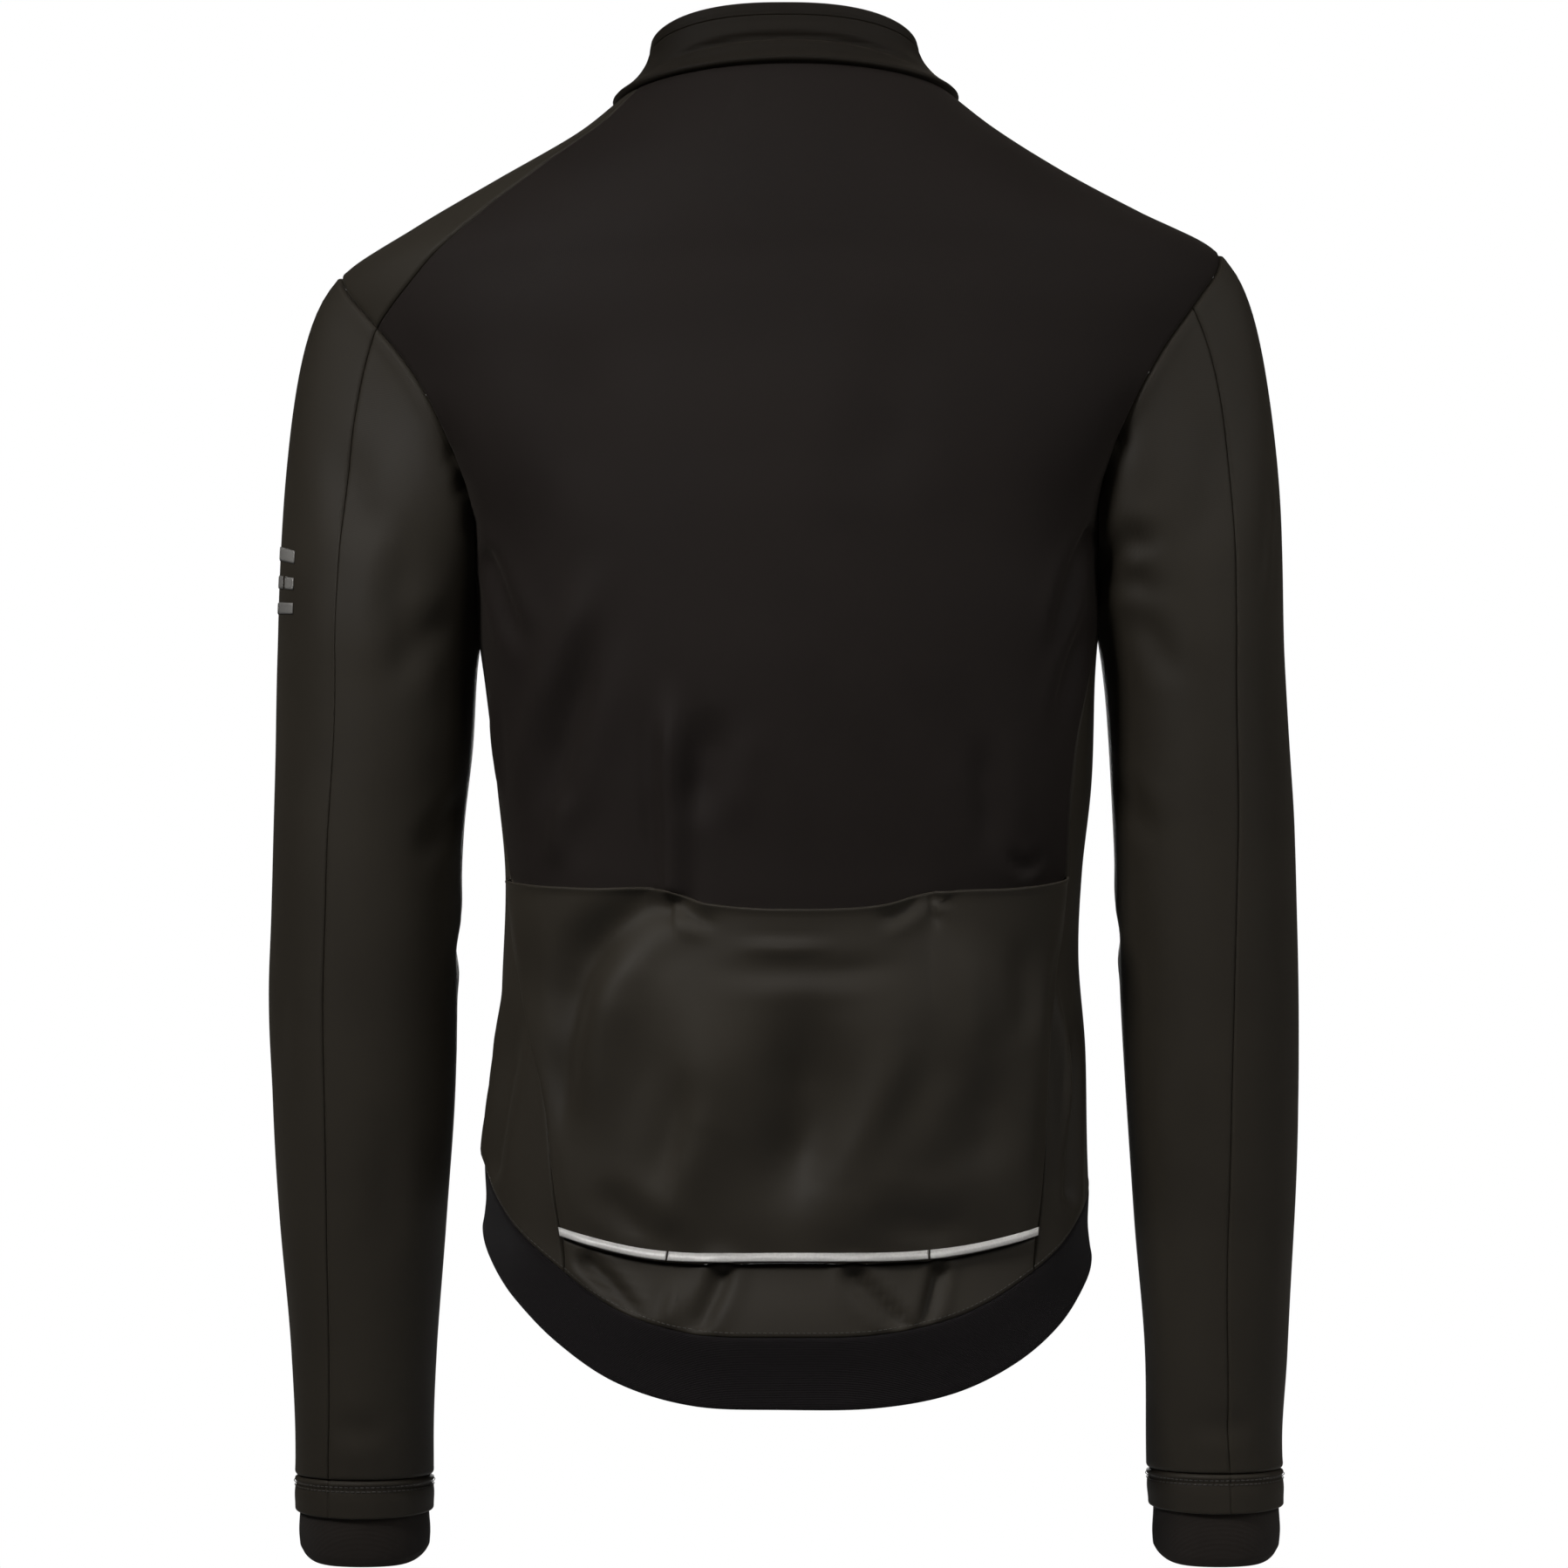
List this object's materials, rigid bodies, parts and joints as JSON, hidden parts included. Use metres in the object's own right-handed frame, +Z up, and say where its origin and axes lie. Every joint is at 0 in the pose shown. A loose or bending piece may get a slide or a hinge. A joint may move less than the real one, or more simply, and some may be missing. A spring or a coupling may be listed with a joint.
{
  "type": "cycling jacket",
  "caption": "Winter cycling jacket in the shape of a wearer, open at neck, cuffs and hem, with back pockets, drop tail, elastic hem and cuffs, reflective trims and a full front zip",
  "frame": {"origin": "Centre of the neck base, level with the points where neck and shoulders meet", "axes": "+Z up the wearer's back, +Y out of the wearer's back, +X to the wearer's left"},
  "size_m": [0.5424, 0.2396, 0.8205],
  "materials": {
    "olive_cloth": "brushed",
    "black_cloth": "brushed",
    "elastic": "ribbed",
    "reflective_film": "retroreflective",
    "zip_tape": "woven",
    "zip_hard": "satin"
  },
  "bodies": {
    "jacket": {"back_panel": "black_cloth", "collar": "olive_cloth", "collar_binding": "olive_cloth", "cuff_band_left": "olive_cloth", "cuff_band_right": "olive_cloth", "elastic_cuff_left": "elastic", "elastic_cuff_right": "elastic", "front_panel_left": "olive_cloth", "front_panel_right": "olive_cloth", "hem_band": "elastic", "lower_back_panel": "olive_cloth", "pocket_panel": "olive_cloth", "reflective_tape_left": "reflective_film", "reflective_tape_middle": "reflective_film", "reflective_tape_right": "reflective_film", "side_panel_left": "olive_cloth", "side_panel_right": "olive_cloth", "sleeve_bar_1": "reflective_film", "sleeve_bar_2": "reflective_film", "sleeve_bar_3": "reflective_film", "sleeve_outer_left": "olive_cloth", "sleeve_outer_right": "olive_cloth", "sleeve_under_left": "olive_cloth", "sleeve_under_right": "olive_cloth", "zip_box": "zip_hard", "zip_chain": "zip_hard", "zip_slider": "zip_hard", "zip_tape_left": "zip_tape", "zip_tape_right": "zip_tape"},
    "pull_tab": {"zip_pull_tab": "zip_hard"}
  },
  "joints": [
    {"name": "pull_tab_hinge", "type": "hinge", "parent": "jacket", "child": "pull_tab", "pos_m": [0, -0.06289, -0.00571], "axis": [-1, 0, 0], "range_deg": [0, 165]}
  ]
}
